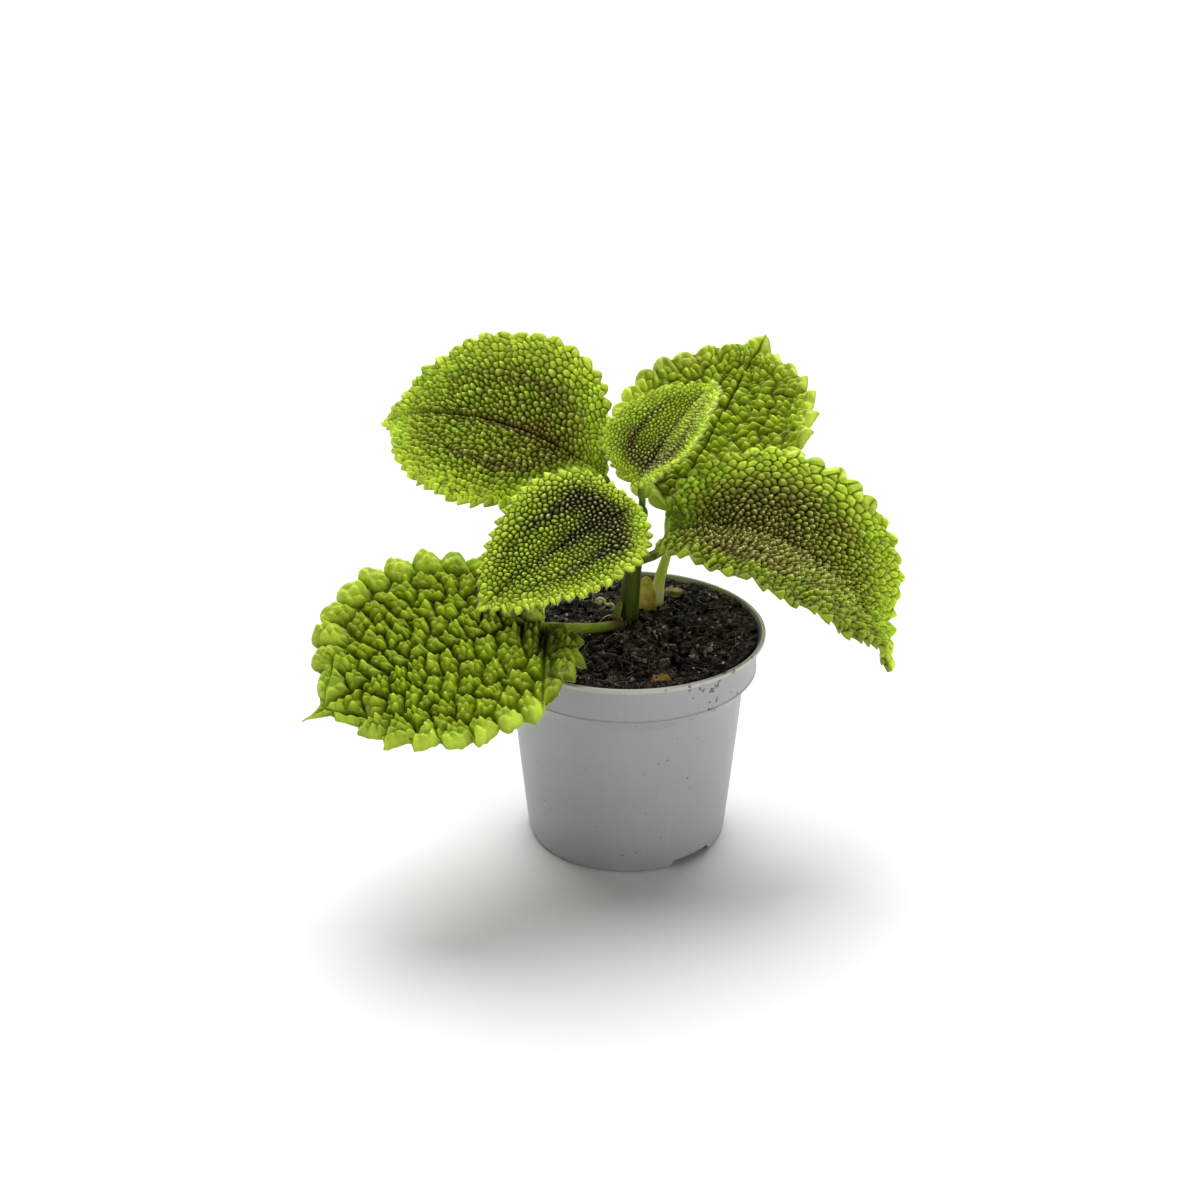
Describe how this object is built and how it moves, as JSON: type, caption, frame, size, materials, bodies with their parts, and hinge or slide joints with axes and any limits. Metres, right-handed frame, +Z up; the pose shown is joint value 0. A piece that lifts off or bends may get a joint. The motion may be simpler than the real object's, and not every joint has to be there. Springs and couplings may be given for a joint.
{
  "type": "potted pilea",
  "caption": "Young quilted-leaf pilea on one ridged stem, with toothed leaves in crossed pairs, growing in peat in a small grey nursery pot.",
  "frame": {"origin": "centre of the pot's underside, where it stands", "axes": "+Z up along the pot's axis; -Y towards the viewer, so that +X is the plant's right"},
  "size_m": [0.1234, 0.1081, 0.1027],
  "materials": {
    "plastic_grey": "satin",
    "peat": "matte",
    "stem_green": "satin",
    "leaf_old": "satin",
    "leaf_young": "satin",
    "dry_sheath": "matte",
    "bark": "matte"
  },
  "bodies": {
    "root": {"pot": "plastic_grey", "soil": "peat", "stem": "stem_green", "leaf_lower_left": "leaf_old", "leaf_lower_right": "leaf_old", "leaf_upper_left": "leaf_young", "leaf_upper_right": "leaf_young", "leaf_top_left": "leaf_young", "leaf_top_right": "leaf_young", "dry_stipule": "dry_sheath", "bark_chip_front": "bark", "bark_chip_rear": "bark"}
  },
  "joints": []
}
